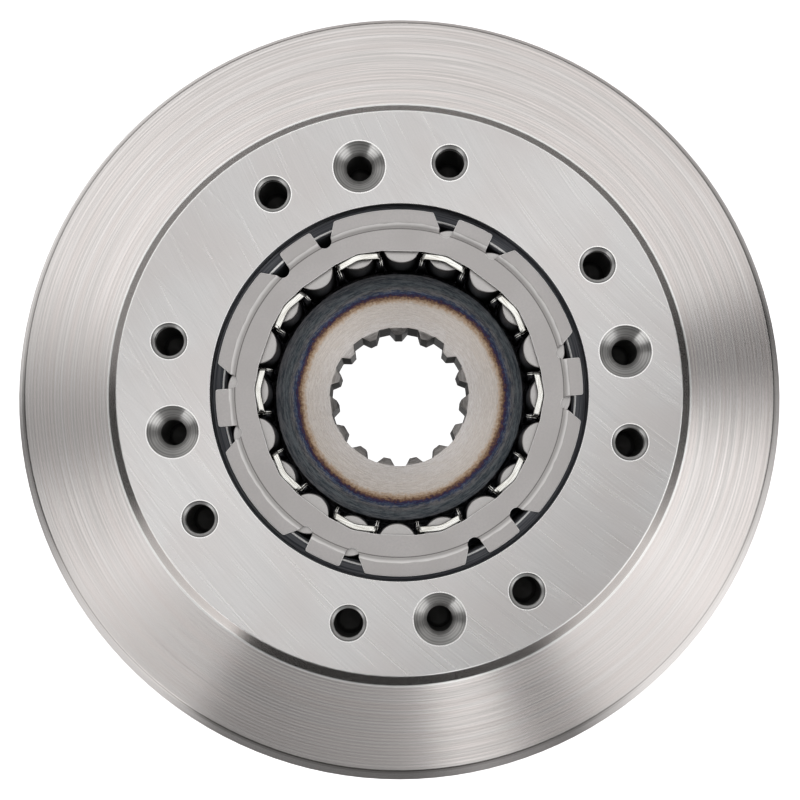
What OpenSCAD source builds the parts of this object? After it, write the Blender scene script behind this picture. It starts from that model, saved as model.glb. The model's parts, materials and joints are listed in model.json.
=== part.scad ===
// Starter clutch: a sprag one-way clutch in a flanged steel housing, lying on its back.
// Z is the clutch axis. The origin is the centre of the housing's back face, and +Z is out of the boss face.
// Heights at the front are counted down from the boss face, because the cage, spring and sprags hang there.

/* [Races] */
// Diameter of the inner race, ground on the hub
race_in_d = 44.45; // [43.8:0.05:45]
// Height of the gap between the races, which the sprags are made for
race_section = 7.3; // [7.2:0.01:7.45]
// Running gap between each sprag head and its race
race_gap = 0.04; // [0.03:0.01:0.08]

/* [Housing] */
// Height from the back face to the boss face
housing_h = 31.5; // [30:0.5:36]
// Outside diameter of the disc at its widest
disc_d = 133.8; // [131:0.1:150]
// Thickness of the disc
disc_t = 10; // [8:0.5:13]
// How far the disc's side leans in towards the front, on the radius
disc_lean = 2; // [0:0.1:3]
// Chamfer at the front edge of the disc
disc_edge = 0.6; // [0.2:0.1:1.2]
// Chamfer at the back edge of the disc
disc_back_edge = 1.0; // [0.2:0.1:2]
// Diameter of the boss face
boss_d = 96.3; // [94:0.1:104]
// Height of the boss above the disc
boss_h = 5; // [3:0.5:9]
// How far the boss wall flares out towards the disc, on the radius
boss_flare = 1.75; // [0.2:0.05:3]
// Fillet between the boss wall and the disc
boss_fillet = 0.5; // [0.2:0.1:1]
// Broken edge round the boss face
boss_edge = 0.15; // [0.1:0.05:0.6]
// Diameter of the boss at the back
rear_d = 92; // [88:1:100]
// Chamfer round the back boss
rear_edge = 1.5; // [0.5:0.5:3]

/* [Counterbore] */
// Width of the ledge between the outer race and the counterbore's wall, which seats the cage
seat_ledge = 2.58; // [2.3:0.02:3]
// Depth of the counterbore
seat_depth = 2.4; // [1.8:0.1:3.5]
// Width of the relief groove in the counterbore's corner
relief_w = 0.3; // [0.2:0.1:0.6]
// Depth of the relief groove below the counterbore's floor
relief_depth = 0.5; // [0.2:0.1:1]
// Lead-in chamfer at the mouth of the outer race
race_lead = 0.45; // [0.1:0.05:0.6]

/* [Holes] */
// Number of tapped holes
tap_n = 8; // [4:1:10]
// Pitch circle of the tapped holes
tap_pcd = 80; // [78:0.5:83]
// Diameter of the tapped holes before their thread, for M6
tap_d = 5; // [4.2:0.1:5.2]
// Depth of the tapped holes
tap_depth = 16; // [10:1:20]
// Diameter of the chamfer at a tapped hole's mouth
tap_mouth_d = 6.2; // [5.6:0.1:6.8]
// Angle of the first tapped hole
tap_angle = 32.6; // [28:0.1:36]
// Number of countersunk holes
sink_n = 4; // [1:1:4]
// Pitch circle of the countersunk holes
sink_pcd = 78; // [76:0.5:80]
// Diameter of the countersunk holes
sink_d = 4.4; // [3.4:0.1:5]
// Depth of the countersunk holes
sink_depth = 16; // [10:1:20]
// Diameter of the countersinks
sink_mouth_d = 8.9; // [7:0.1:10]
// Angle of the first countersunk hole
sink_angle = 10.1; // [8:0.1:12]

/* [Sprags] */
// Number of sprags
sprag_n = 20; // [16:1:20]
// Angle of the first sprag
sprag_angle = -1.2; // [-3:0.1:3]
// Length of each sprag along the axis
sprag_l = 21; // [18:0.5:21.5]
// Radius of the round head on the inner race
head_in_r = 3.45; // [3.3:0.05:3.5]
// Radius of the flatter head on the outer race
head_out_r = 4.1; // [3.6:0.1:4.3]
// Half width of the outer head
head_out_half = 3.4; // [3.3:0.05:3.45]
// Sideways offset of each head's centre, which makes the sprag wedge one way
cam_offset = 0.16; // [0.1:0.02:0.2]
// Radius of the waist hollow on each side
waist_r = 2.2; // [1.8:0.1:2.6]
// Half width left at the waist
waist_half = 2.55; // [2.3:0.05:2.9]
// Broken edge at both ends of a sprag
sprag_edge = 0.15; // [0.05:0.05:0.3]

/* [Outer cage] */
// Thickness of the cage's sheet
sheet_t = 0.8; // [0.6:0.1:1]
// Gap between the tabs and the counterbore's wall
tab_gap = 0.8; // [0.3:0.1:1]
// How far the middle of the flange is set down below the tabs
joggle = 0.6; // [0.2:0.1:0.9]
// How far inside the outer race the joggle starts
joggle_in = 1.45; // [1.35:0.05:1.5]
// Width of the joggle
joggle_w = 1.2; // [1.1:0.1:1.4]
// Gap between the flange's inner edge and a spring loop, at the loop's bend
scallop_gap = 0.14; // [0.1:0.01:0.2]
// How far the inner edge is cut out to a shallow point over each loop
scallop_depth = 0.3; // [0.26:0.02:0.5]
// Half angle of one cut-out
scallop_half = 10; // [9.5:0.5:11]
// Number of narrow tabs, with a wide tab between each two
tab_n = 6; // [3:1:6]
// Angle of the first narrow tab
tab_angle = 5.1; // [0:0.1:12]
// Width of a narrow tab
narrow_w = 6.4; // [5:0.1:7]
// Angle from a narrow tab's middle to the edge of the next wide tab, at the rim
wide_rim_angle = 15.5; // [14:0.1:16]
// The same angle at the bottom of the notch
wide_root_angle = 11.1; // [10.6:0.1:12]
// Radius of the tabs' outer corners
tab_corner = 0.4; // [0.2:0.05:0.6]
// How far a notch reaches in past the outer race
notch_in = 1.65; // [1.5:0.05:1.7]
// How far inside the outer race the barrel's inner wall lies
barrel_in = 3.35; // [3.25:0.05:3.45]
// Wall of the cage's barrel
barrel_wall = 0.6; // [0.4:0.1:0.7]
// Half width of the windows in the barrel
window_half = 3; // [2.95:0.05:3.2]
// Height of the barrel's back ring
barrel_ring_h = 0.6; // [0.4:0.1:0.7]

/* [Inner cage] */
// Gap between the inner race and the inner cage
inner_gap = 0.53; // [0.4:0.01:0.6]
// Wall of the inner cage
inner_wall = 0.7; // [0.5:0.1:0.7]
// Gap between a sprag and each side of its slot
slot_gap = 0.4; // [0.35:0.05:0.5]
// Height of the inner cage's back ring
inner_ring_h = 0.6; // [0.4:0.1:0.7]
// How far the inner cage's fingers stop below the sprags' front ends
finger_drop = 3.4; // [3:0.2:8]

/* [Ribbon spring] */
// Thickness of the spring strip
strip_t = 0.3; // [0.2:0.05:0.35]
// How far outside the inner race the ribbon's inner wall lies
ribbon_out = 2.88; // [2.8:0.02:2.96]
// Width of the bars between the sprags
bar_w = 0.9; // [0.7:0.1:1]
// Height of the rings at both ends of the ribbon
ring_h = 0.45; // [0.3:0.05:0.6]
// How far inside the ribbon a loop's outer edge lies, at its middle
loop_in = 0.52; // [0.45:0.01:0.6]
// Radial width of the loops
loop_w = 1.05; // [0.8:0.05:1.2]
// Angle that each half of a loop leans back, seen from the front
loop_lean = 13; // [11:0.5:14]
// Radius of the bend in the middle of a loop
loop_turn = 5; // [2:0.5:6]
// Height of a loop's top above the flange
loop_rise = 0.1; // [0:0.05:0.3]
// Radius of the bend at each end of a loop
loop_bend = 0.7; // [0.5:0.1:1.2]
// How far a loop's legs go down from its top
leg_drop = 2.7; // [2.4:0.1:3]
// Height of the tongue that joins each leg to the ribbon
tongue_h = 0.8; // [0.5:0.1:1]

/* [Hub] */
// Depth of the hub's face below the boss face
hub_depth = 15.5; // [14:0.5:17]
// Chamfer at the front edge of the inner race
hub_edge = 0.45; // [0.2:0.05:0.8]
// Number of spline teeth
spline_n = 15; // [12:1:16]
// Angle of the first spline tooth
spline_angle = 90.7; // [78:0.1:102]
// Diameter over the roots of the spline
spline_root_d = 24.5; // [24:0.1:25]
// Diameter over the tips of the spline teeth
spline_tip_d = 22; // [21.4:0.1:22.4]
// Width of a spline tooth at its root
tooth_root_w = 3.2; // [2.6:0.1:3.4]
// Width of a spline tooth at its tip
tooth_tip_w = 1.35; // [0.9:0.05:1.6]
// Chamfer that leads into the spline over the whole height of its teeth
spline_lead = 1.2; // [0.4:0.1:1.3]
// Chamfer on the tooth tips at the back end
spline_back_lead = 0.3; // [0.2:0.1:0.6]

/* [Pilot] */
// Diameter of the hub's journal
journal_d = 30; // [29:0.5:31]
// Running gap between the journal and the bush, on the radius
journal_gap = 0.05; // [0.02:0.01:0.08]
// Wall of the pilot bush
bush_wall = 2; // [1.5:0.1:2.5]
// Thickness of the thrust washer
washer_t = 0.8; // [0.5:0.1:0.9]
// Outside diameter of the thrust washer
washer_d = 42; // [38:0.5:43]
// End float of the hub on the thrust washer
end_float = 0.05; // [0.03:0.01:0.1]
// Depth of the recess for the retaining ring, in the back of the housing
clip_recess = 1.6; // [1.5:0.1:1.8]
// Diameter of that recess
clip_recess_d = 39; // [37.8:0.2:42]
// Thickness of the retaining ring
clip_t = 0.9; // [0.7:0.1:1]
// Radial width of the retaining ring
clip_w = 2.2; // [1.8:0.1:2.5]
// Radius of the two lugs at its ends
clip_lug_r = 1.35; // [1.2:0.05:1.5]
// Depth of its groove in the journal
clip_groove = 0.9; // [0.6:0.1:1]
// Angle that the retaining ring leaves open
clip_open = 34; // [30:1:50]
// How far the hub's back end lies inside the housing's back face
hub_back = 0.2; // [0.1:0.05:0.3]

/* [Clearances] */
// Gap between the ribbon's front ring and the flange
ribbon_gap = 0.05; // [0.02:0.01:0.1]
// Gap between the ribbon's front ring and the sprags
sprag_end_gap = 0.1; // [0.05:0.05:0.2]
// Room behind the sprags for the cages' back rings
back_room = 1; // [0.9:0.1:1.4]
// Gap between the cages' back rings and the sprags
ring_gap = 0.2; // [0.1:0.05:0.2]
// Side gap of the retaining ring in its groove, and of the washer round the journal
clip_gap = 0.05; // [0.03:0.01:0.1]
// Gap between the retaining ring and the back of the pilot bush
clip_float = 0.2; // [0.1:0.05:0.3]

/* [Hidden] */
$fn = 96;
cut = 0.5; // how far a cutter reaches past the face that it cuts
pitch = 360 / sprag_n;
race_in_r = race_in_d / 2;
race_out_r = race_in_r + race_section;
race_mid_r = (race_in_r + race_out_r) / 2;
disc_r = disc_d / 2;
boss_r = boss_d / 2;
disc_z = housing_h - boss_h;
disc_back_z = disc_z - disc_t;
seat_r = race_out_r + seat_ledge;
seat_z = housing_h - seat_depth;
flange_z = seat_z - joggle;
tab_r = seat_r - tab_gap;
joggle_r = race_out_r - joggle_in;
notch_r = race_out_r - notch_in;
barrel_r = race_out_r - barrel_in;
inner_r = race_in_r + inner_gap;
ribbon_r = race_in_r + ribbon_out;
loop_out_r = ribbon_r - loop_in;
scallop_r = loop_out_r + scallop_gap;
flange_r = scallop_r - scallop_depth;
ribbon_z = flange_z - ribbon_gap;
sprag_top = ribbon_z - ring_h - sprag_end_gap;
sprag_z = sprag_top - sprag_l;
race_floor = sprag_z - back_room;
ring_top = sprag_z - ring_gap;
// Heads sit on circles whose centres leave race_gap to each race
head_in_y = sqrt(pow(race_in_r + race_gap + head_in_r, 2) - pow(cam_offset, 2));
head_out_y = sqrt(pow(race_out_r - race_gap - head_out_r, 2) - pow(cam_offset, 2));
loop_top = flange_z + sheet_t + loop_rise;
leg_bottom = loop_top - leg_drop;
inner_out_r = inner_r + inner_wall;
slot_half = sqrt(pow(head_in_r, 2) - pow(head_in_y - inner_out_r, 2)) + slot_gap;
hub_top = housing_h - hub_depth;
washer_z = race_floor;
shoulder_z = washer_z + washer_t + end_float;
journal_r = journal_d / 2;
bush_in_r = journal_r + journal_gap;
bush_out_r = bush_in_r + bush_wall;
clip_in_r = journal_r - clip_groove + clip_gap;
clip_z = clip_recess - clip_float - clip_t;

SPRAGS = [for (i = [1:sprag_n]) str("sprag_", i < 10 ? "0" : "", i)];

// Places children round the axis, n of them, the first at angle a0
module ring_of(n, a0) {
    for (i = [0:n - 1]) {
        rotate([0, 0, a0 + i * 360 / n]) children();
    }
}

// A plain ring from r1 to r2
module tube(r1, r2, h) {
    difference() {
        cylinder(r = r2, h = h);
        translate([0, 0, -cut]) cylinder(r = r1, h = h + 2 * cut);
    }
}

// Points of a quarter turn of radius r about c, starting at angle a
function quarter(c, r, a, sweep = 90, steps = 6) =
    [for (i = [0:steps]) c + r * [cos(a + sweep * i / steps), sin(a + sweep * i / steps)]];

// Point p turned by angle a about the origin
function turned(p, a) = [p[0] * cos(a) - p[1] * sin(a), p[0] * sin(a) + p[1] * cos(a)];

// Half section of the housing before boring, from the axis out
module housing_section() {
    lean = atan2(boss_flare, boss_h - boss_edge);
    fillet_sweep = 90 - lean;
    wall_foot = boss_r + boss_flare;
    fillet_c = [wall_foot + boss_fillet * tan(fillet_sweep / 2) , disc_z + boss_fillet];
    polygon(concat(
        [[0, 0], [rear_d / 2 - rear_edge, 0], [rear_d / 2, rear_edge], [rear_d / 2, disc_back_z]],
        [[disc_r - disc_back_edge, disc_back_z], [disc_r, disc_back_z + disc_back_edge]],
        [[disc_r - disc_lean, disc_z - disc_edge], [disc_r - disc_lean - disc_edge, disc_z]],
        quarter(fillet_c, boss_fillet, 270, -fillet_sweep),
        [[boss_r, housing_h - boss_edge], [boss_r - boss_edge, housing_h], [0, housing_h]]
    ));
}

// A blind hole in the boss face, pcd / 2 from the axis, with its drill point and a 90 degree mouth
module blind_hole(pcd, d, depth, mouth_d) {
    mouth = (mouth_d - d) / 2;
    translate([pcd / 2, 0, housing_h]) {
        translate([0, 0, -depth]) cylinder(d = d, h = depth + cut);
        translate([0, 0, -depth - d / 4]) cylinder(d1 = 0.2, d2 = d, h = d / 4);
        translate([0, 0, -mouth]) cylinder(d1 = d, d2 = mouth_d, h = mouth);
    }
}

// Turned steel housing: disc, boss, cage seat, outer race, back lip and the holes in the boss face
module clutch_housing() {
    color([0.72, 0.71, 0.7]) difference() {
        rotate_extrude() housing_section();
        translate([0, 0, seat_z]) cylinder(r = seat_r, h = seat_depth + cut);
        translate([0, 0, seat_z - relief_depth]) tube(seat_r - relief_w, seat_r, relief_depth + cut);
        translate([0, 0, race_floor]) cylinder(r = race_out_r, h = housing_h);
        translate([0, 0, seat_z - race_lead])
            cylinder(r1 = race_out_r, r2 = race_out_r + race_lead, h = race_lead);
        translate([0, 0, -cut]) cylinder(r = bush_out_r, h = housing_h);
        translate([0, 0, -cut]) cylinder(d = clip_recess_d, h = clip_recess + cut);
        ring_of(tap_n, tap_angle) blind_hole(tap_pcd, tap_d, tap_depth, tap_mouth_d);
        ring_of(sink_n, sink_angle) blind_hole(sink_pcd, sink_d, sink_depth, sink_mouth_d);
    }
}

// Centre of a tab's rounded corner, for a tab side that lies at height y and a tab above (1) or below (-1) it
function corner_centre(y, side) =
    let (c = y + side * tab_corner)
    [sqrt(pow(tab_r - tab_corner, 2) - c * c), c];

// One notch between a narrow tab and a wide tab, in plan, for a narrow tab along +X
module notch_plan() {
    out_r = seat_r + cut;
    tab_half = narrow_w / 2;
    root_r = notch_r + 1;
    tab_foot = [sqrt(pow(root_r, 2) - pow(tab_half, 2)), tab_half];
    wide_foot = root_r * [cos(wide_root_angle), sin(wide_root_angle)];
    wide_rim = out_r * [cos(wide_rim_angle), sin(wide_rim_angle)];
    root_end = norm(wide_foot - tab_foot) / 2;
    narrow_c = corner_centre(tab_half, -1);
    narrow_to = atan2(narrow_c[1], narrow_c[0]);
    // The wide tab's side leans by lean, and turned back by it the side lies at height wide_y
    lean = atan2(wide_rim[1] - wide_foot[1], wide_rim[0] - wide_foot[0]);
    wide_y = wide_foot[1] * cos(lean) - wide_foot[0] * sin(lean);
    wide_c = corner_centre(wide_y, 1);
    wide_to = atan2(wide_c[1], wide_c[0]);
    narrow_corner = quarter(narrow_c, tab_corner, 90, narrow_to - 90);
    wide_corner = quarter(wide_c, tab_corner, -90, wide_to + 90);
    polygon(concat(
        [tab_foot],
        narrow_corner,
        [out_r * [cos(narrow_to), sin(narrow_to)], out_r * [cos(lean + wide_to), sin(lean + wide_to)]],
        [for (i = [len(wide_corner) - 1:-1:0]) turned(wide_corner[i], lean)],
        [wide_foot]
    ));
    translate((tab_foot + wide_foot) / 2) circle(r = root_end);
}

// One side of the sheet through the joggle, from the axis out, half above (1) or half below (-1) its middle
function joggle_side(half) =
    let (
        lean = 2 * atan2(joggle, joggle_w),
        bend = joggle_w / 2 / sin(lean),
        off = half * sheet_t / 2,
        low = [joggle_r, flange_z + sheet_t / 2 + bend],
        high = [joggle_r + joggle_w, seat_z + sheet_t / 2 - bend]
    )
    concat(quarter(low, bend - off, 270, lean), quarter(high, bend + off, 90 + lean, -lean));

// Section of the cage's flange: set down in the middle, raised to the tabs by the joggle
module flange_section() {
    top = joggle_side(1);
    polygon(concat(
        [[race_in_r, flange_z]],
        joggle_side(-1),
        [[tab_r, seat_z], [tab_r, seat_z + sheet_t]],
        [for (i = [len(top) - 1:-1:0]) top[i]],
        [[race_in_r, flange_z + sheet_t]]
    ));
}

// The opening in the flange: straight over a bare sprag, and a shallow point over each loop
module flange_opening() {
    corners = [[scallop_r, 0], [flange_r, scallop_half], [flange_r, 2 * pitch - scallop_half]];
    polygon([
        for (i = [0:sprag_n / 2 - 1]) for (c = corners)
            c[0] * [cos(2 * i * pitch + c[1]), sin(2 * i * pitch + c[1])]
    ]);
}

// Flanged sheet cage that keeps the sprags spaced at the outer race and clips into the housing
module outer_cage() {
    barrel_z = ring_top - barrel_ring_h;
    color([0.66, 0.65, 0.64]) difference() {
        union() {
            rotate_extrude() flange_section();
            translate([0, 0, barrel_z])
                tube(barrel_r, barrel_r + barrel_wall, flange_z - barrel_z + sheet_t / 2);
        }
        ring_of(tab_n, tab_angle) translate([0, 0, flange_z - cut]) linear_extrude(seat_depth + 2 * cut) {
            notch_plan();
            mirror([0, 1]) notch_plan();
        }
        translate([0, 0, flange_z - cut]) rotate([0, 0, sprag_angle])
            linear_extrude(seat_depth) flange_opening();
        ring_of(sprag_n, sprag_angle) translate([barrel_r - cut, -window_half, ring_top])
            cube([barrel_wall + 2 * cut, 2 * window_half, sprag_l + ring_gap + sprag_end_gap]);
    }
}

// Inner cage: a back ring with one finger up between each two sprags
module inner_cage() {
    color([0.4, 0.4, 0.42]) difference() {
        translate([0, 0, ring_top - inner_ring_h])
            tube(inner_r, inner_out_r, sprag_top - finger_drop - ring_top + inner_ring_h);
        ring_of(sprag_n, sprag_angle) translate([inner_r - cut, cam_offset - slot_half, ring_top])
            cube([inner_wall + 2 * cut, 2 * slot_half, sprag_l]);
    }
}

// Outline of a loop seen along the radius, legs down, with both bends rounded
module loop_outline(half, top, bottom, bend) {
    polygon(concat(
        [[half, bottom]],
        quarter([half - bend, top - bend], bend, 0),
        quarter([bend - half, top - bend], bend, 90),
        [[-half, bottom]]
    ));
}

// One long edge of a loop in plan: two leaning halves with a bend of radius r between them
function loop_edge(r, half) =
    let (
        c = [loop_out_r - loop_turn, 0],
        foot = half - r * sin(loop_lean),
        end = [c[0] + r * cos(loop_lean) - foot * tan(loop_lean), half]
    )
    concat([[end[0], -end[1]]], quarter(c, r, -loop_lean, 2 * loop_lean), [end]);

// One bright loop of the ribbon spring, over the sprag on +X
module spring_loop() {
    half = (loop_out_r - loop_w / 2) * sin(pitch / 2) + strip_t / 2;
    outer = loop_edge(loop_turn, half + cut);
    inner = loop_edge(loop_turn - loop_w, half + cut);
    leg_r = norm(loop_edge(loop_turn, half)[0]) - loop_w / 3;
    intersection() {
        translate([race_in_r, cam_offset, 0]) rotate([90, 0, 90]) linear_extrude(race_mid_r - race_in_r)
            difference() {
                loop_outline(half, loop_top, leg_bottom, loop_bend);
                loop_outline(half - strip_t, loop_top - strip_t, leg_bottom - cut, loop_bend - strip_t);
            }
        translate([0, cam_offset, leg_bottom]) linear_extrude(leg_drop + cut)
            polygon(concat(outer, [for (i = [len(inner) - 1:-1:0]) inner[i]]));
    }
    for (side = [-1, 1]) {
        rotate([0, 0, side * pitch / 2]) translate([leg_r, cam_offset - strip_t / 2, leg_bottom])
            cube([ribbon_r + strip_t / 2 - leg_r, strip_t, tongue_h]);
    }
}

// Ribbon spring: two rings joined by a bar between each two sprags, with a loop over every second sprag
module ribbon_spring() {
    ribbon_foot = ring_top - ring_h;
    color([0.82, 0.81, 0.79]) union() {
        translate([0, 0, ribbon_z - ring_h]) tube(ribbon_r, ribbon_r + strip_t, ring_h);
        translate([0, 0, ribbon_foot]) tube(ribbon_r, ribbon_r + strip_t, ring_h);
        difference() {
            translate([0, 0, ribbon_foot + ring_h / 2])
                tube(ribbon_r, ribbon_r + strip_t, ribbon_z - ribbon_foot - ring_h);
            ring_of(sprag_n, sprag_angle) ribbon_window(ribbon_foot);
        }
        ring_of(sprag_n / 2, sprag_angle) spring_loop();
    }
}

// The window that one sprag passes through, between two bars of the ribbon
module ribbon_window(foot) {
    bar_half = asin(bar_w / 2 / ribbon_r);
    half = (ribbon_r + strip_t) * sin(pitch / 2 - bar_half);
    translate([ribbon_r - cut, cam_offset - half, foot - cut])
        cube([strip_t + 2 * cut, 2 * half, ribbon_z - foot + 2 * cut]);
}

// A round head of radius r for a sprag, both end edges broken
module sprag_head(r) {
    rotate_extrude() polygon([
        [0, 0],
        [r - sprag_edge, 0],
        [r, sprag_edge],
        [r, sprag_l - sprag_edge],
        [r - sprag_edge, sprag_l],
        [0, sprag_l]
    ]);
}

// One sprag: a round head on the inner race, a flatter one on the outer race with its centre offset the other
// way, and a hollow waist for the cage and ribbon bars
module sprag(i) {
    at = sprag_angle + (i - 1) * pitch;
    color([0.7, 0.7, 0.7]) rotate([0, 0, at]) translate([0, 0, sprag_z]) difference() {
        union() {
            translate([head_in_y, cam_offset, 0]) sprag_head(head_in_r);
            intersection() {
                translate([head_out_y, -cam_offset, 0]) sprag_head(head_out_r);
                translate([race_mid_r, -head_out_half, -cut])
                    cube([race_section, 2 * head_out_half, sprag_l + 2 * cut]);
            }
        }
        for (side = [-1, 1]) {
            translate([race_mid_r, side * (waist_half + waist_r), -cut])
                cylinder(r = waist_r, h = sprag_l + 2 * cut);
        }
    }
}

// One space of the internal spline, in plan, along +X
module spline_space() {
    tip_r = spline_tip_d / 2;
    root_r = spline_root_d / 2;
    tip_half = tip_r * sin(180 / spline_n - asin(tooth_tip_w / 2 / tip_r));
    root_half = root_r * sin(180 / spline_n - asin(tooth_root_w / 2 / root_r));
    slope = (tip_half - root_half) / (root_r - tip_r);
    polygon([
        [tip_r - 1, tip_half + slope],
        [root_r, root_half],
        [root_r, -root_half],
        [tip_r - 1, -tip_half - slope]
    ]);
}

// Hub: the inner race outside, an internal spline inside, and a journal at the back for the pilot bush
module inner_race_hub() {
    tip_r = spline_tip_d / 2;
    color([0.5, 0.5, 0.54]) difference() {
        rotate_extrude() polygon([
            [0, hub_back],
            [journal_r - clip_t / 3, hub_back],
            [journal_r, hub_back + clip_t / 3],
            [journal_r, shoulder_z],
            [race_in_r - hub_edge, shoulder_z],
            [race_in_r, shoulder_z + hub_edge],
            [race_in_r, hub_top - hub_edge],
            [race_in_r - hub_edge, hub_top],
            [0, hub_top]
        ]);
        translate([0, 0, -cut]) cylinder(r = tip_r, h = hub_top + 2 * cut);
        translate([0, 0, -cut]) linear_extrude(hub_top + 2 * cut)
            ring_of(spline_n, spline_angle + 180 / spline_n) spline_space();
        translate([0, 0, hub_top - spline_lead])
            cylinder(r1 = tip_r, r2 = tip_r + spline_lead, h = spline_lead);
        translate([0, 0, hub_back])
            cylinder(r1 = tip_r + spline_back_lead, r2 = tip_r, h = spline_back_lead);
        translate([0, 0, clip_z - clip_gap])
            tube(journal_r - clip_groove, journal_r + cut, clip_t + 2 * clip_gap);
    }
}

// Bronze bush pressed into the housing's back lip
module pilot_bush() {
    color([0.72, 0.52, 0.28]) translate([0, 0, clip_recess])
        tube(bush_in_r, bush_out_r, race_floor - clip_recess);
}

// Thrust washer between the back lip and the hub's shoulder
module thrust_washer() {
    color([0.6, 0.6, 0.6]) translate([0, 0, washer_z]) tube(journal_r + clip_gap, washer_d / 2, washer_t);
}

// Open retaining ring in the journal's groove, with a plier hole in each end
module retaining_ring() {
    lug_at = clip_in_r + clip_w - clip_lug_r / 2;
    color([0.3, 0.3, 0.32]) translate([0, 0, clip_z]) difference() {
        union() {
            rotate([0, 0, clip_open / 2]) rotate_extrude(angle = 360 - clip_open)
                translate([clip_in_r, 0]) square([clip_w, clip_t]);
            for (side = [-1, 1]) {
                rotate([0, 0, side * clip_open / 2]) translate([lug_at, 0, 0])
                    cylinder(r = clip_lug_r, h = clip_t);
            }
        }
        for (side = [-1, 1]) {
            rotate([0, 0, side * clip_open / 2]) translate([lug_at, 0, -cut])
                cylinder(r = clip_lug_r / 2, h = clip_t + 2 * cut);
        }
        translate([0, 0, -cut]) cylinder(r = clip_in_r, h = clip_t + 2 * cut);
    }
}

clutch_housing();
outer_cage();
ribbon_spring();
inner_cage();
inner_race_hub();
pilot_bush();
thrust_washer();
retaining_ring();
for (i = [1:sprag_n]) {
    sprag(i);
}
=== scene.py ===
import json
import math

import bpy
from mathutils import Matrix, Vector


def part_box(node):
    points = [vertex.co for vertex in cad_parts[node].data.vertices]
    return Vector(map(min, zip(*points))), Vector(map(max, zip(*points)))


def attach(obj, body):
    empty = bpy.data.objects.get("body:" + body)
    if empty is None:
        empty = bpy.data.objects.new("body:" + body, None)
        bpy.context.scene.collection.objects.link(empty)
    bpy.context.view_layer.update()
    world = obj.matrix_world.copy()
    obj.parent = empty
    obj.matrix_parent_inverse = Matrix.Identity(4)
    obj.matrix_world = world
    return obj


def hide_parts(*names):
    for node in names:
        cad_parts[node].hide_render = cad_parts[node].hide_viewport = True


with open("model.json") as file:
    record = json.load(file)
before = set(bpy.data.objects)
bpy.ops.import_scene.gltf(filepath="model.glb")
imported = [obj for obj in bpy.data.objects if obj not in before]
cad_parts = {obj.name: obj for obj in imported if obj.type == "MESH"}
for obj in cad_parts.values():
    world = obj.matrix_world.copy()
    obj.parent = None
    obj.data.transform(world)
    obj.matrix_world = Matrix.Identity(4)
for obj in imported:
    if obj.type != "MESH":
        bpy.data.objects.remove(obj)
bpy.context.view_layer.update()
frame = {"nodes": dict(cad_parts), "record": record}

# Clutch housing: one steel forging, turned all over, with a boss face that was surface ground last.
# Eight holes are drilled and tapped, four are drilled and countersunk, and the counterbore is painted dark as
# shade.
# Its finish is one steel with other marks in each zone: turning lines, grinding scratches and drill marks.
MM = 1000.0
BOSS_FACE_Z = (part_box("clutch_housing")[1] * MM).z
BOSS_FOOT_R = 49.9
RIM_SHADE_R = 64.4
RACE_MOUTH_R = 29.98
SEAT_R = 32.105
SEAT_Z = 29.1
REAR_RECESS_Z = 2.0
HOLE_FLOOR_Z = 13.0
MOUTH_DEPTH = 0.65
SINK_DEPTH = 2.3
TAPPED = {"count": 8, "first": 32.6, "circle": 40.0, "mouth": 3.1, "bore": 2.5}
COUNTERSUNK = {"count": 4, "first": 10.1, "circle": 39.0, "mouth": 4.45, "bore": 2.2}
HOLE_RING = (33.5, 45.0)
GRINDING_CENTRE = (133.0, 109.0)
CROSS_GRINDING_CENTRE = (104.0, 168.0)
TOOL_FEED = 0.56
FLANK_LEAN = 0.1
EDGE_LEAN = 3.0
FACE_SKIN = 0.01
WALL_SKIN = 0.02
RIM_SHADE_WIDTH = 0.1
FOOT_GLINT_WIDTH = 0.32
MOUTH_GLINT_WIDTH = 0.17
BORE_GLINT_WIDTH = 0.2
RACE_GLINT_WIDTH = 0.16
LEVEL = (0.97, 0.99)
MOUTH_MARGIN = 0.05
GLINT_BAND_TOP = (1.3, 1.5)
GLINT_BAND_FOOT = (2.2, 2.6)
DRILL_RINGS = 4.5
GLINT_AND_MARK_WHITE = (255, 254, 252)


def linear(red, green, blue):
    """A colour given as it shows on a screen, as the linear light that shaders work in."""
    return [((c / 255 + 0.055) / 1.055) ** 2.4 if c > 10 else c / 3300 for c in (red, green, blue)] + [1.0]


def join(tree, socket, value):
    """Fills a socket with a link, a number or a colour."""
    if isinstance(value, bpy.types.NodeSocket):
        tree.links.new(value, socket)
    elif value is not None:
        socket.default_value = value


def put(tree, kind, *values, **settings):
    """Adds a shader node and fills its sockets in their order."""
    node = tree.nodes.new("ShaderNode" + kind)
    for key, value in settings.items():
        setattr(node, key, value)
    for socket, value in zip(node.inputs, values):
        join(tree, socket, value)
    return node


def calc(tree, operation, *terms):
    return put(tree, "Math", *terms, operation=operation).outputs[0]


def total(tree, *terms):
    """The sum of some numbers."""
    whole = terms[0]
    for term in terms[1:]:
        whole = calc(tree, "ADD", whole, term)
    return whole


def all_of(tree, *masks):
    """1 where every mask is 1 and 0 where one of them is 0. A number among them weakens the whole."""
    whole = masks[0]
    for mask in masks[1:]:
        whole = calc(tree, "MULTIPLY", whole, mask)
    return whole


def any_of(tree, *masks):
    """1 where one of the masks is 1."""
    whole = masks[0]
    for mask in masks[1:]:
        whole = calc(tree, "MAXIMUM", whole, mask)
    return whole


def over(tree, value, limit):
    return calc(tree, "GREATER_THAN", value, limit)


def under(tree, value, limit):
    return calc(tree, "LESS_THAN", value, limit)


def away_from(tree, value, middle):
    """The distance of a number from a middle one, either way."""
    return calc(tree, "ABSOLUTE", calc(tree, "SUBTRACT", value, middle))


def centred(tree, value):
    """A noise's value, from half below zero to half above."""
    return calc(tree, "SUBTRACT", value, 0.5)


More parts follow.
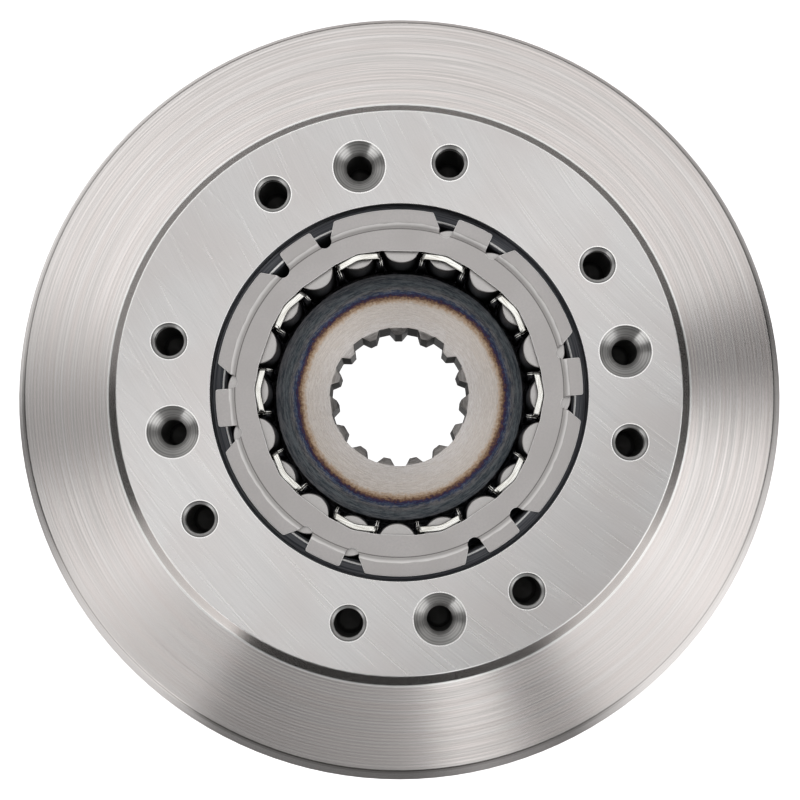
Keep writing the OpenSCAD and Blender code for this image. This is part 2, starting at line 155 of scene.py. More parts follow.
def rise(tree, value, low, high):
    """0 at low and 1 at high, with a soft step between them. It falls where high is the smaller number."""
    return put(tree, "MapRange", value, low, high, 0.0, 1.0, interpolation_type="SMOOTHSTEP").outputs[0]


def vector(tree, operation, *terms):
    return put(tree, "VectorMath", *terms, operation=operation).outputs[0]


def point(tree, *parts):
    return put(tree, "CombineXYZ", *parts).outputs[0]


def length(tree, *parts):
    return put(tree, "VectorMath", point(tree, *parts), operation="LENGTH").outputs["Value"]


def mix(tree, share, first, second):
    """Goes from the first number to the second as share goes from 0 to 1."""
    return put(tree, "Mix", share, None, first, second, data_type="FLOAT").outputs[0]


def mix_vector(tree, share, first, second):
    node = put(tree, "Mix", share, data_type="VECTOR")
    join(tree, node.inputs[4], first)
    join(tree, node.inputs[5], second)
    return node.outputs[1]


def mix_colour(tree, share, first, second, way="MIX"):
    node = put(tree, "Mix", share, data_type="RGBA", blend_type=way)
    join(tree, node.inputs[6], first)
    join(tree, node.inputs[7], second)
    return node.outputs[2]


def noise(tree, place, detail=2.0, roughness=0.5):
    node = put(tree, "TexNoise")
    for name, value in (("Vector", place), ("Scale", 1.0), ("Detail", detail), ("Roughness", roughness)):
        join(tree, node.inputs[name], value)
    return node.outputs[0]


def mottle(tree, place, fine, detail=2.0, roughness=0.5):
    """Noise that is alike in every direction. Fine is the number of its grains to a millimetre."""
    return noise(tree, vector(tree, "MULTIPLY", place, (fine, fine, fine)), detail, roughness)


def round_lines(tree, along, x, y, r, fine, sweep, detail, roughness=0.5):
    """Lines round an axis: noise that is fine across them and changes slowly on the way round."""
    spoke_x = calc(tree, "MULTIPLY", calc(tree, "DIVIDE", x, r), sweep)
    spoke_y = calc(tree, "MULTIPLY", calc(tree, "DIVIDE", y, r), sweep)
    return noise(tree, point(tree, calc(tree, "MULTIPLY", along, fine), spoke_x, spoke_y), detail, roughness)


def ground_lines(tree, x, y, centre, fine, sweep, detail=0.0):
    """Grinding scratches: wide arcs round the middle of the grinding wheel's sweep."""
    from_x = calc(tree, "SUBTRACT", x, centre[0])
    from_y = calc(tree, "SUBTRACT", y, centre[1])
    sweep_r = length(tree, from_x, from_y)
    return round_lines(tree, sweep_r, from_x, from_y, sweep_r, fine, sweep, detail, roughness=0.65)


def bump(tree, height, depth):
    """The normal of a surface with a relief of this depth in millimetres."""
    node = put(tree, "Bump")
    for name, value in (("Strength", 1.0), ("Distance", depth / MM), ("Height", height)):
        join(tree, node.inputs[name], value)
    return node.outputs[0]


def leaning(tree, normal, lean):
    """A normal that is tilted by a lean, as on an edge that is rounded more than its mesh."""
    return vector(tree, "NORMALIZE", vector(tree, "ADD", normal, lean))


def new_finish(name, roughness=0.4, anisotropic=0.0, metallic=1.0):
    """A metal material, and its node tree and shader."""
    material = bpy.data.materials.new(name)
    material.use_nodes = True
    tree = material.node_tree
    shader = tree.nodes["Principled BSDF"]
    shader.inputs["Metallic"].default_value = metallic
    shader.inputs["Roughness"].default_value = roughness
    shader.inputs["Anisotropic"].default_value = anisotropic
    return material, tree, shader


def spot_of(tree):
    """The place on the piece in millimetres."""
    return vector(tree, "MULTIPLY", put(tree, "TexCoord").outputs["Object"], (MM, MM, MM))


def place_of(tree):
    """The place on the piece in millimetres, as x, y, z and the distance from the axis."""
    x, y, z = put(tree, "SeparateXYZ", spot_of(tree)).outputs
    return x, y, z, length(tree, x, y)


def upward(tree):
    """How far a face looks up: 1 on a level face, 0 on a wall and below 0 on an underside."""
    return put(tree, "SeparateXYZ", put(tree, "NewGeometry").outputs["Normal"]).outputs[2]


def across_turning(tree, x, y):
    """The direction across the turning lines, on flat faces and on walls alike, and how flat a face lies."""
    normal = put(tree, "NewGeometry").outputs["Normal"]
    flat = rise(tree, calc(tree, "ABSOLUTE", upward(tree)), *LEVEL)
    round_axis = vector(tree, "CROSS_PRODUCT", (0, 0, 1), normal)
    on_wall = vector(tree, "CROSS_PRODUCT", round_axis, normal)
    return mix_vector(tree, flat, on_wall, point(tree, x, y, 0.0)), flat


def from_hole(tree, angle, r, holes):
    """Distance from the nearest hole's axis, in a ring of holes."""
    half_step = math.pi / holes["count"]
    turned = calc(tree, "SUBTRACT", angle, math.radians(holes["first"]))
    turned = calc(tree, "WRAP", turned, half_step, -half_step)
    ahead = calc(tree, "SUBTRACT", calc(tree, "MULTIPLY", r, calc(tree, "COSINE", turned)), holes["circle"])
    aside = calc(tree, "MULTIPLY", r, calc(tree, "SINE", turned))
    return length(tree, ahead, aside)


def dress(name, finish, edge, steps=2, clear_of=None, mend=None):
    """A copy of a node with smooth curves and broken edges, which stands for the node and moves with it."""
    same_place = 0.0002
    same_plane = math.radians(0.3)
    sharp_corner = math.radians(24.0)
    smooth_below = math.radians(36)
    node = frame["nodes"][name]
    piece = bpy.data.objects.new(name + "_finished", node.data.copy())
    bpy.context.scene.collection.objects.link(piece)
    bpy.ops.object.select_all(action="DESELECT")
    piece.select_set(True)
    bpy.context.view_layer.objects.active = piece
    bpy.ops.object.mode_set(mode="EDIT")
    bpy.ops.mesh.select_all(action="SELECT")
    bpy.ops.mesh.remove_doubles(threshold=same_place / MM)
    bpy.ops.mesh.dissolve_limited(angle_limit=same_plane)
    bpy.ops.mesh.select_mode(type="EDGE")
    bpy.ops.mesh.select_all(action="DESELECT")
    bpy.ops.mesh.edges_select_sharp(sharpness=sharp_corner)
    bpy.ops.object.mode_set(mode="OBJECT")
    if clear_of:
        for line in piece.data.edges:
            ends = [piece.data.vertices[i].co * MM for i in line.vertices]
            line.select = line.select and clear_of((ends[0] + ends[1]) / 2)
    bpy.ops.object.mode_set(mode="EDIT")
    bpy.ops.mesh.bevel(offset=edge / MM, segments=steps, affect="EDGES")
    if mend:
        mend(piece)
    bpy.ops.object.mode_set(mode="OBJECT")
    bpy.ops.object.shade_smooth_by_angle(angle=smooth_below)
    weights = piece.modifiers.new("flat_faces_stay_flat", "WEIGHTED_NORMAL")
    weights.keep_sharp = True
    bpy.ops.object.modifier_apply(modifier=weights.name)
    piece.material_slots[0].material = finish
    body = next(body for body, nodes in frame["record"]["behaviour"]["bodies"].items() if name in nodes)
    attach(piece, body)
    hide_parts(name)


def open_mouths(piece):
    """Lays the boss face anew between its edges, so that each hole is open to the rim of its mouth."""
    bpy.ops.mesh.select_mode(type="FACE")
    bpy.ops.mesh.select_all(action="DESELECT")
    bpy.ops.object.mode_set(mode="OBJECT")
    piece.data.transform(Matrix.Scale(MM, 4))
    for face in piece.data.polygons:
        face.select = abs(face.normal.z) > 0.99 and face.center.z > BOSS_FACE_Z - FACE_SKIN / 2
    bpy.ops.object.mode_set(mode="EDIT")
    bpy.ops.mesh.delete(type="FACE")
    bpy.ops.mesh.select_mode(type="EDGE")
    bpy.ops.mesh.select_non_manifold(extend=False, use_wire=False, use_multi_face=False,
                                     use_non_contiguous=False, use_verts=False)
    bpy.ops.mesh.mark_sharp()
    bpy.ops.mesh.fill(use_beauty=True)
    bpy.ops.mesh.select_all(action="SELECT")
    bpy.ops.mesh.normals_make_consistent(inside=False)
    bpy.ops.object.mode_set(mode="OBJECT")
    piece.data.transform(Matrix.Scale(1 / MM, 4))
    bpy.ops.object.mode_set(mode="EDIT")


def clear_of_holes(spot):
    """Whether a place is outside the rings of holes, whose mouths have chamfers of their own."""
    return not HOLE_RING[0] < math.hypot(spot.x, spot.y) < HOLE_RING[1]


housing_steel, tree, shader = new_finish("housing_steel", anisotropic=0.97)
x, y, z, r = place_of(tree)
plan = point(tree, x, y, 0.0)
profile = calc(tree, "ADD", r, z)
angle = calc(tree, "ARCTAN2", y, x)
tap = from_hole(tree, angle, r, TAPPED)
sink = from_hole(tree, angle, r, COUNTERSUNK)
tangent, flat = across_turning(tree, x, y)
facing_up = upward(tree)

# Zones of the housing, each 1 where it lies and 0 elsewhere.
below_boss_face = under(tree, z, BOSS_FACE_Z - FACE_SKIN)
on_boss = all_of(tree, rise(tree, z, BOSS_FACE_Z - 2 * FACE_SKIN, BOSS_FACE_Z - FACE_SKIN), flat)
on_disc = all_of(tree, over(tree, r, BOSS_FOOT_R), flat)
on_boss_wall = all_of(tree, under(tree, facing_up, 0.5), under(tree, r, BOSS_FOOT_R),
                      over(tree, r, HOLE_RING[1]))
in_seat = all_of(tree, under(tree, r, SEAT_R + WALL_SKIN), over(tree, z, REAR_RECESS_Z), below_boss_face)
# Painted highlight: a white line at the race's mouth in the counterbore.
race_mouth_glint = all_of(tree, under(tree, away_from(tree, r, RACE_MOUTH_R), RACE_GLINT_WIDTH),
                       rise(tree, z, SEAT_Z - 0.2, SEAT_Z - 0.15))
# Painted shade: a darker line at the rim of the disc's face.
rim_shade_line = under(tree, away_from(tree, r, RIM_SHADE_R), RIM_SHADE_WIDTH)
# Painted highlights: the foot of the boss wall, a ring round each mouth on the boss face and the broken edges
# are painted white.
foot_glint_line = all_of(tree, under(tree, away_from(tree, r, BOSS_FOOT_R), FOOT_GLINT_WIDTH),
                 rise(tree, facing_up, *LEVEL))
into_hole = calc(tree, "MINIMUM", calc(tree, "SUBTRACT", tap, TAPPED["mouth"]),
                 calc(tree, "SUBTRACT", sink, COUNTERSUNK["mouth"]))
in_holes = all_of(tree, under(tree, into_hole, MOUTH_MARGIN), below_boss_face,
                  over(tree, z, HOLE_FLOOR_Z))
# Painted shade and highlight in the holes: the bores are painted dark, with a white band at the first
# thread's depth.
bores_in_painted_shade = any_of(tree, under(tree, z, BOSS_FACE_Z - SINK_DEPTH),
                  all_of(tree, under(tree, tap, TAPPED["mouth"]), under(tree, z, BOSS_FACE_Z - MOUTH_DEPTH)))
in_tapped_mouths = all_of(tree, under(tree, tap, TAPPED["mouth"] + WALL_SKIN),
                          over(tree, z, BOSS_FACE_Z - MOUTH_DEPTH))
thread_glint_band = all_of(tree, rise(tree, z, BOSS_FACE_Z - GLINT_BAND_FOOT[1], BOSS_FACE_Z - GLINT_BAND_FOOT[0]),
                      rise(tree, z, BOSS_FACE_Z - GLINT_BAND_TOP[0], BOSS_FACE_Z - GLINT_BAND_TOP[1]))
mouth_glint_ring = all_of(tree, on_boss, under(tree, into_hole, MOUTH_GLINT_WIDTH))
# Painted highlight: a white ring at the lip of each hole's bore.
bore_lip_glint = calc(tree, "MINIMUM", away_from(tree, tap, TAPPED["bore"]),
                away_from(tree, sink, COUNTERSUNK["bore"]))
bore_lip_glint = all_of(tree, under(tree, bore_lip_glint, BORE_GLINT_WIDTH), over(tree, z, BOSS_FACE_Z - SINK_DEPTH),
                  over(tree, facing_up, 0.3))
broken_edge_glint = all_of(tree, rise(tree, facing_up, 0.5, 0.65), rise(tree, facing_up, 0.985, 0.96),
                     over(tree, r, SEAT_R - WALL_SKIN), under(tree, r, BOSS_FOOT_R + 1.0))
broken_edge_glint = all_of(tree, any_of(tree, broken_edge_glint, foot_glint_line), calc(tree, "SUBTRACT", 1.0, in_holes))

# Marks of turning and drilling, with the tool's feed as a regular groove.
fine_turning = round_lines(tree, profile, x, y, r, fine=4.6, sweep=0.6, detail=1.0, roughness=0.75)
grooves = round_lines(tree, profile, x, y, r, fine=0.8, sweep=0.5, detail=1.0)
streaks = round_lines(tree, profile, x, y, r, fine=6.5, sweep=4.0, detail=1.0, roughness=0.6)
drill_rings = calc(tree, "MULTIPLY", calc(tree, "MINIMUM", tap, sink), DRILL_RINGS)
hole_turning = noise(tree, point(tree, drill_rings, 0.0, z))
tool_feed = calc(tree, "SINE", calc(tree, "MULTIPLY", profile, 2 * math.pi / TOOL_FEED))
lines = total(tree, calc(tree, "MULTIPLY", fine_turning, 0.55), calc(tree, "MULTIPLY", streaks, 0.45))
lines = rise(tree, mix(tree, in_holes, lines, hole_turning), 0.28, 0.72)

# Marks of grinding, from two passes that cross, stronger in some swaths than in others.
scratches = centred(tree, ground_lines(tree, x, y, GRINDING_CENTRE, fine=8.0, sweep=2.4))
cross_scratches = centred(tree, ground_lines(tree, x, y, CROSS_GRINDING_CENTRE, fine=7.0, sweep=2.2))
long_lines = away_from(tree, ground_lines(tree, x, y, GRINDING_CENTRE, fine=2.6, sweep=1.2), 0.5)
cross_lines = away_from(tree, ground_lines(tree, x, y, CROSS_GRINDING_CENTRE, fine=2.2, sweep=1.2), 0.5)
swaths = ground_lines(tree, x, y, GRINDING_CENTRE, fine=0.9, sweep=11.0, detail=1.0)
swaths = rise(tree, swaths, 0.4, 0.6)
cross_swaths = ground_lines(tree, x, y, CROSS_GRINDING_CENTRE, fine=0.7, sweep=9.0, detail=1.0)
cross_swaths = rise(tree, cross_swaths, 0.45, 0.65)
ground_relief = total(tree, calc(tree, "MULTIPLY", scratches, mix(tree, swaths, 0.35, 1.0)),
                      calc(tree, "MULTIPLY", cross_scratches, mix(tree, cross_swaths, 0.1, 0.5)))
long_marks = calc(tree, "MULTIPLY", rise(tree, long_lines, 0.05, 0.02), mix(tree, swaths, -0.08, 0.12))
cross_marks = calc(tree, "MULTIPLY", rise(tree, cross_lines, 0.04, 0.02), mix(tree, cross_swaths, 0.0, 0.08))
rough_spots = calc(tree, "MULTIPLY", centred(tree, mottle(tree, plan, fine=4.0, roughness=0.6)), 0.4)
ground = total(tree, ground_relief, long_marks, cross_marks, rough_spots, 0.5)
clouds = mottle(tree, plan, fine=0.07)

# Tones, from the plain steel to the holes and the counterbore, with painted shade in the bores, on the tapped
# chamfers, at the disc's rim and in the counterbore, and painted highlights on the edges, the hole lips, the
# first thread and the race's mouth.
turned_tone = mix_colour(tree, lines, linear(230, 225, 222), linear(243, 238, 236))
in_grooves = all_of(tree, rise(tree, grooves, 0.35, 0.7), 0.4)
turned_tone = mix_colour(tree, in_grooves, turned_tone, linear(236, 226, 222))
ground_tone = mix_colour(tree, ground, linear(221, 219, 218), linear(244, 242, 241))
in_clouds = all_of(tree, rise(tree, clouds, 0.35, 0.7), 0.4)
ground_tone = mix_colour(tree, in_clouds, ground_tone, linear(226, 218, 215))
drilled_tone = mix_colour(tree, lines, linear(206, 204, 202), linear(*GLINT_AND_MARK_WHITE))
# Painted shade: a grey ring on the outer part of each tapped mouth's chamfer.
chamfer_shade_ring = all_of(tree, in_tapped_mouths, rise(tree, into_hole, -0.3, -0.1))
drilled_tone = mix_colour(tree, chamfer_shade_ring, drilled_tone, linear(150, 148, 147))
# Painted shade in the bores, with a painted highlight band at the first thread.
bore_shade_and_glint = mix_colour(tree, thread_glint_band, linear(90, 89, 88), linear(250, 248, 246))
drilled_tone = mix_colour(tree, bores_in_painted_shade, drilled_tone, bore_shade_and_glint)
drilled_tone = mix_colour(tree, bore_lip_glint, drilled_tone, linear(*GLINT_AND_MARK_WHITE))
# Painted shade: the counterbore is much darker than the rest of the steel.
seat_shade_and_glint = mix_colour(tree, lines, linear(64, 66, 71), linear(116, 117, 121))
seat_shade_and_glint = mix_colour(tree, race_mouth_glint, seat_shade_and_glint, linear(250, 249, 247))
tone = mix_colour(tree, on_boss, turned_tone, ground_tone)
tone = mix_colour(tree, in_holes, tone, drilled_tone)
tone = mix_colour(tree, all_of(tree, rim_shade_line, 0.8), tone, linear(176, 172, 169))
tone = mix_colour(tree, on_boss_wall, tone, linear(212, 209, 207))
# Painted highlight: white on the mouths' rims and on the broken edges.
tone = mix_colour(tree, any_of(tree, mouth_glint_ring, broken_edge_glint), tone, linear(*GLINT_AND_MARK_WHITE))
join(tree, shader.inputs["Base Color"], mix_colour(tree, in_seat, tone, seat_shade_and_glint))

gloss = mix(tree, on_boss, mix(tree, lines, 0.25, 0.18), mix(tree, ground, 0.32, 0.26))
gloss = mix(tree, in_holes, gloss, mix(tree, in_tapped_mouths, 0.34, 0.5))
gloss = mix(tree, any_of(tree, mouth_glint_ring, bore_lip_glint), gloss, 0.2)
join(tree, shader.inputs["Roughness"], mix(tree, in_seat, gloss, 0.42))

grain_x = calc(tree, "SUBTRACT", GRINDING_CENTRE[0], x)
grain_y = calc(tree, "SUBTRACT", GRINDING_CENTRE[1], y)
tangent = mix_vector(tree, on_boss, tangent, point(tree, grain_x, grain_y, 0.0))
join(tree, shader.inputs["Tangent"], vector(tree, "NORMALIZE", tangent))

# Relief of the marks. The disc's face leans outwards a little, and the broken edges look up.
height = total(tree, calc(tree, "MULTIPLY", total(tree, lines, grooves), 0.24),
               calc(tree, "MULTIPLY", tool_feed, 0.12))
height = mix(tree, on_boss, height, calc(tree, "MULTIPLY", ground_relief, 0.1))
disc_lean = calc(tree, "MULTIPLY", on_disc, FLANK_LEAN)
lean = vector(tree, "MULTIPLY", vector(tree, "NORMALIZE", plan), point(tree, disc_lean, disc_lean, disc_lean))
rounded = any_of(tree, bore_lip_glint, calc(tree, "MULTIPLY", in_tapped_mouths, 0.3))
rounded = any_of(tree, broken_edge_glint, all_of(tree, in_holes, rounded))
lean = vector(tree, "ADD", lean, point(tree, 0.0, 0.0, calc(tree, "MULTIPLY", rounded, EDGE_LEAN)))
join(tree, shader.inputs["Normal"], leaning(tree, bump(tree, height, depth=0.012), lean))
dress("clutch_housing", housing_steel, edge=0.1, clear_of=clear_of_holes, mend=open_mouths)

# Outer cage: pressed from sheet steel and tumbled, so that it is satin all over with softly rounded edges.
# Its tabs rest on the counterbore's floor, and its middle is set down below them.
CREASE_R = 28.05
STEP_R = 29.3
CREASE_SHADE_WIDTH = 0.1
ROUNDING_LEAN = 2.5
cage_sheet, tree, shader = new_finish("cage_sheet", roughness=0.42)
spot = spot_of(tree)
r = place_of(tree)[-1]
facing_up = upward(tree)
speckle = mottle(tree, spot, fine=2.6, detail=3.0, roughness=0.6)
patches = mottle(tree, spot, fine=0.12, detail=1.0)
sloping = all_of(tree, rise(tree, facing_up, 0.985, 0.95), rise(tree, facing_up, 0.2, 0.4))
in_step = all_of(tree, under(tree, r, STEP_R), over(tree, r, CREASE_R))
crease_shade_line = under(tree, away_from(tree, r, CREASE_R), CREASE_SHADE_WIDTH)
tone = mix_colour(tree, speckle, linear(194, 191, 190), linear(218, 213, 211))
in_patches = all_of(tree, rise(tree, patches, 0.4, 0.65), 0.5)
tone = mix_colour(tree, in_patches, tone, linear(198, 194, 192))
# Painted light on the sheet: sloping faces are painted white as highlights, the step fades from a highlight
# to a darker band, and the crease gets a painted shade line.
step_highlight_and_shade = mix_colour(tree, rise(tree, r, 28.9, 28.25), linear(240, 237, 235), linear(196, 192, 190))
tone = mix_colour(tree, sloping, tone, mix_colour(tree, in_step, linear(255, 253, 251), step_highlight_and_shade))
tone = mix_colour(tree, all_of(tree, crease_shade_line, 0.8), tone, linear(120, 117, 115))
join(tree, shader.inputs["Base Color"], tone)
join(tree, shader.inputs["Roughness"], mix(tree, speckle, 0.36, 0.48))
rounding = point(tree, 0.0, 0.0, calc(tree, "MULTIPLY", sloping, ROUNDING_LEAN))
join(tree, shader.inputs["Normal"], leaning(tree, bump(tree, speckle, depth=0.006), rounding))
dress("outer_cage", cage_sheet, edge=0.13)

# Ribbon spring: blanked and bent from bright spring strip, so that its loops mirror the tent above.
spring_steel, tree, shader = new_finish("spring_steel", roughness=0.22)
x, y, _, r = place_of(tree)
drawn = round_lines(tree, r, x, y, r, fine=6.0, sweep=8.0, detail=2.0)
tone = mix_colour(tree, rise(tree, drawn, 0.35, 0.6), linear(214, 211, 203), linear(254, 253, 248))
# Painted shade: faces that turn away from the top are painted darker.
tone = mix_colour(tree, rise(tree, upward(tree), 0.5, 0.85), linear(120, 118, 113), tone)
join(tree, shader.inputs["Base Color"], tone)
join(tree, shader.inputs["Roughness"], mix(tree, drawn, 0.14, 0.3))
join(tree, shader.inputs["Normal"], bump(tree, drawn, depth=0.01))
dress("ribbon_spring", spring_steel, edge=0.16, steps=3)

# Sprags: hardened steel, ground flat on both ends, with their sides painted dark as shade.
GRIT_FINE = (3.0, 3.0, 0.6)
sprag_steel, tree, shader = new_finish("sprag_steel", roughness=0.36)
grit = noise(tree, vector(tree, "MULTIPLY", spot_of(tree), GRIT_FINE), detail=3.0)
ground_end = rise(tree, calc(tree, "ABSOLUTE", upward(tree)), 0.3, 0.6)
end_tone = mix_colour(tree, grit, linear(192, 189, 187), linear(216, 213, 211))
# Painted shade: the sides are painted dark, the ends keep the steel's tone.
join(tree, shader.inputs["Base Color"], mix_colour(tree, ground_end, linear(84, 84, 86), end_tone))
join(tree, shader.inputs["Roughness"], mix(tree, grit, 0.3, 0.42))
join(tree, shader.inputs["Normal"], bump(tree, grit, depth=0.005))
for name in [name for name in frame["nodes"] if name.startswith("sprag_")]:
    dress(name, sprag_steel, edge=0.1)

# Inner cage: thin sheet that keeps the sprags in step at the inner race, painted dark as the shade it lies
# in.
dark_cage, tree, shader = new_finish("dark_cage", roughness=0.4)
cage_mottle = mottle(tree, spot_of(tree), fine=1.5, detail=3.0)
join(tree, shader.inputs["Base Color"], mix_colour(tree, cage_mottle, linear(36, 37, 40), linear(66, 66, 70)))
join(tree, shader.inputs["Roughness"], mix(tree, cage_mottle, 0.32, 0.46))
dress("inner_cage", dark_cage, edge=0.06)

# Hub: inner race outside and spline inside, turned from one bar. The race was hardened by induction, which
# left a dark oxide skin at the rim, and blue, purple and straw temper rings before the bright middle.
TEMPER = [
    (12.0, (244, 239, 236)),
    (16.8, (242, 233, 225)),
    (17.4, (216, 190, 164)),
    (17.85, (156, 124, 98)),
    (18.2, (98, 74, 80)),
    (18.5, (66, 58, 94)),
    (18.9, (90, 104, 130)),
    (19.4, (142, 138, 138)),
    (20.2, (118, 124, 128)),
    (22.3, (116, 114, 117)),
]
HEAT_CENTRE = (0.45, -0.27)
SPLINE_ROOT_R = 12.6
LEAD_LEAN = 0.5


def temper_colour(tree, heated):
    """The colour of the heated face at a distance from the heat's centre."""
    inmost, outmost = TEMPER[0][0], TEMPER[-1][0]
    ramp = put(tree, "ValToRGB", put(tree, "MapRange", heated, inmost, outmost).outputs[0])
    stops = ramp.color_ramp.elements
    for index, (stop_r, colour) in enumerate(TEMPER):
        share = (stop_r - inmost) / (outmost - inmost)
        stop = stops[0] if index == 0 else stops[-1] if index == len(TEMPER) - 1 else stops.new(share)
        stop.position = share
        stop.color = linear(*colour)
    return ramp.outputs[0]


hub_steel, tree, shader = new_finish("hub_steel", anisotropic=0.6)
spot = spot_of(tree)
x, y, z, r = place_of(tree)
profile = calc(tree, "ADD", r, z)
facing_up = upward(tree)
tangent = across_turning(tree, x, y)[0]
fine_turning = round_lines(tree, profile, x, y, r, fine=5.5, sweep=14.0, detail=3.0, roughness=0.8)
broad_turning = round_lines(tree, profile, x, y, r, fine=2.4, sweep=5.0, detail=2.0, roughness=0.6)
mottling = mottle(tree, spot, fine=2.2, roughness=0.6)
drift = mottle(tree, spot, fine=0.12)
lines = total(tree, calc(tree, "MULTIPLY", fine_turning, 0.6), calc(tree, "MULTIPLY", broad_turning, 0.4))
lines = rise(tree, lines, 0.38, 0.62)
heated = length(tree, calc(tree, "SUBTRACT", x, HEAT_CENTRE[0]), calc(tree, "SUBTRACT", y, HEAT_CENTRE[1]))
for unevenness, reach in ((drift, 0.9), (fine_turning, 1.6), (mottling, 1.3)):
    heated = total(tree, heated, calc(tree, "MULTIPLY", centred(tree, unevenness), reach))
dark_line = mix_colour(tree, rise(tree, heated, 18.0, 19.4), linear(210, 207, 204), linear(124, 132, 138))
line_tone = mix_colour(tree, lines, dark_line, linear(255, 255, 255))
tone = mix_colour(tree, 1.0, temper_colour(tree, heated), line_tone, way="MULTIPLY")
# Painted shade: the spline bore's walls are painted dark.
bore_painted_shade = all_of(tree, under(tree, r, SPLINE_ROOT_R), rise(tree, facing_up, 0.4, 0.2))
join(tree, shader.inputs["Base Color"], mix_colour(tree, bore_painted_shade, tone, linear(80, 77, 75)))
join(tree, shader.inputs["Roughness"], mix(tree, lines, 0.3, 0.46))
join(tree, shader.inputs["Tangent"], vector(tree, "NORMALIZE", tangent))
leading_in = all_of(tree, rise(tree, facing_up, 0.4, 0.5), rise(tree, facing_up, 0.97, 0.93),
                    under(tree, r, SPLINE_ROOT_R))
rounding = point(tree, 0.0, 0.0, calc(tree, "MULTIPLY", leading_in, LEAD_LEAN))
join(tree, shader.inputs["Normal"], leaning(tree, bump(tree, lines, depth=0.012), rounding))
dress("inner_race_hub", hub_steel, edge=0.08)

# Pilot bush: sintered bronze, pressed into the housing's back lip.
bronze, tree, shader = new_finish("bronze", roughness=0.4)
pores = mottle(tree, spot_of(tree), fine=4.0, detail=3.0)
join(tree, shader.inputs["Base Color"], mix_colour(tree, pores, linear(150, 106, 58), linear(205, 160, 100)))
join(tree, shader.inputs["Normal"], bump(tree, pores, depth=0.01))
dress("pilot_bush", bronze, edge=0.1)

# Thrust washer: plain hardened steel, lapped on both faces.
washer_steel, tree, shader = new_finish("washer_steel", roughness=0.35)
lapping = mottle(tree, spot_of(tree), fine=1.4, detail=4.0)
tone = mix_colour(tree, lapping, linear(150, 149, 148), linear(190, 188, 186))
join(tree, shader.inputs["Base Color"], tone)
join(tree, shader.inputs["Roughness"], mix(tree, lapping, 0.3, 0.4))
dress("thrust_washer", washer_steel, edge=0.06)

# Retaining ring: spring steel with a black phosphate skin, snapped into the journal's groove from behind.
clip_black, tree, shader = new_finish("clip_black", roughness=0.5, metallic=0.6)
skin = mottle(tree, spot_of(tree), fine=3.0, detail=4.0)
join(tree, shader.inputs["Base Color"], mix_colour(tree, skin, linear(38, 38, 41), linear(66, 66, 70)))
join(tree, shader.inputs["Normal"], bump(tree, skin, depth=0.008))
dress("retaining_ring", clip_black, edge=0.1)

# Floor: a white sweep under the part, bright enough to show no shadow, as in a light tent.
FLOOR_SIZE = 4.0
FLOOR_DROP = 0.2 / MM
bpy.ops.object.select_all(action="DESELECT")
bpy.ops.mesh.primitive_plane_add(size=FLOOR_SIZE, location=(0, 0, -FLOOR_DROP))
floor = bpy.context.object
floor.name = "floor"
floor.visible_glossy = False
white, tree, shader = new_finish("white_sweep", metallic=0.0)
shader.inputs["Base Color"].default_value = (0.9, 0.9, 0.9, 1)
shader.inputs["Emission Color"].default_value = (1, 1, 1, 1)
shader.inputs["Emission Strength"].default_value = 1.0
floor.data.materials.append(white)

# Light tent: three rows of soft panels stand round the part, one near the top, one half way up and one below
# the table's edge. Each panel has the angle where its middle stands and its brightness, with darker gaps
# between panels, and straight above is a plain bright diffuser. All angles are in degrees, and the edges
# between the rows are counted from straight above.
HIGH_PANELS = [
    (0, 1.45), (8, 0.75), (12, 0.1), (16, 0.04), (21, 0.08), (26, 1.0), (33, 1.12), (60, 1.18), (105, 1.2),
    (135, 1.25), (152, 1.15), (165, 0.45), (180, 0.32), (190, 1.1), (203, 0.8), (211, 0.5), (220, 0.18),
    (238, 0.12), (262, 0.2), (275, 0.24), (280, 1.2), (290, 1.05), (295, 0.08), (303, 0.08), (309, 0.75),
    (325, 0.7), (347, 1.12), (354, 1.4),
]
SIDE_PANELS = [
    (0, 0.0), (16, 0.0), (28, 0.13), (110, 0.18), (168, 0.34), (176, 0.0), (198, 0.0), (206, 0.8),
    (233, 1.4), (236, 0.0), (284, 0.0), (300, 0.1), (312, 0.95), (332, 1.1), (344, 0.3), (354, 0.0),
]
LOW_PANELS = [
    (0, 0.45), (14, 0.13), (28, 0.42), (90, 0.6), (150, 0.85), (170, 0.62), (180, 0.2), (196, 0.42),
    (208, 0.74), (228, 0.68), (238, 0.2), (272, 0.14), (284, 0.34), (300, 0.18), (314, 0.95), (335, 1.0),
    (350, 0.72),
]
UNDER_TABLE = 0.04
OVERHEAD = 1.05
world = bpy.data.worlds.new("light_tent")
bpy.context.scene.world = world
world.use_nodes = True
tree = world.node_tree
side_x, side_y, up = put(tree, "SeparateXYZ", put(tree, "TexCoord").outputs["Generated"]).outputs
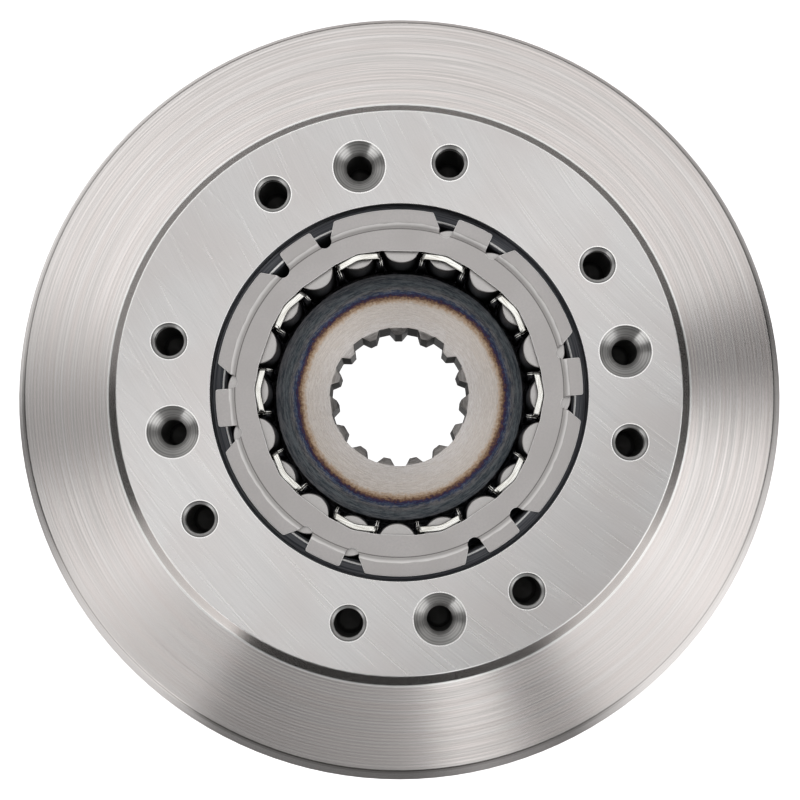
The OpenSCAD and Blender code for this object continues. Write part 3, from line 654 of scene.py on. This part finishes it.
turn = calc(tree, "WRAP", calc(tree, "DIVIDE", calc(tree, "ARCTAN2", side_y, side_x), 2 * math.pi), 1.0, 0.0)


def panel_row(panels):
    """The brightness round the part of one row of panels."""
    ramp = put(tree, "ValToRGB", turn)
    stops = ramp.color_ramp.elements
    stops[0].position, stops[0].color = 0.0, [panels[0][1]] * 3 + [1]
    stops[1].position, stops[1].color = 1.0, [panels[0][1]] * 3 + [1]
    for stop_angle, brightness in panels[1:]:
        stop = stops.new(stop_angle / 360)
        stop.color = [brightness] * 3 + [1]
    return put(tree, "SeparateXYZ", ramp.outputs[0]).outputs[0]


def height_of(degrees_off_top):
    """The height on the tent, from 1 at the top to -1 at the bottom, of a ring round the part."""
    return math.cos(math.radians(degrees_off_top))


tent = UNDER_TABLE
for lower_edge, upper_edge, brightness in (
    (168, 162, panel_row(LOW_PANELS)),
    (92, 84, panel_row(SIDE_PANELS)),
    (31, 23, panel_row(HIGH_PANELS)),
    (9, 3, OVERHEAD),
):
    tent = mix(tree, rise(tree, up, height_of(lower_edge), height_of(upper_edge)), tent, brightness)
tent = mix(tree, put(tree, "LightPath").outputs["Is Camera Ray"], tent, 1.0)
join(tree, tree.nodes["Background"].inputs["Color"], point(tree, tent, tent, tent))

# Camera: almost straight above the boss face, leaning a little towards the bottom of the picture.
LOOK_AT = Vector((0.118, -1.103, 25.5)) / MM
CAMERA_ELEVATION = math.radians(86.918)
CAMERA_DISTANCE = 370.9 / MM
LENS = 96.94
SENSOR = 36.0
NEAREST = 10 / MM
camera_data = bpy.data.cameras.new("camera")
camera_data.lens = LENS
camera_data.sensor_width = SENSOR
camera_data.clip_start = NEAREST
camera = bpy.data.objects.new("camera", camera_data)
bpy.context.scene.collection.objects.link(camera)
offset = Vector((0, -math.cos(CAMERA_ELEVATION), math.sin(CAMERA_ELEVATION))) * CAMERA_DISTANCE
camera.location = LOOK_AT + offset
camera.rotation_euler = (-offset).to_track_quat("-Z", "Y").to_euler()
bpy.context.scene.camera = camera
bpy.context.scene.view_settings.view_transform = "Standard"
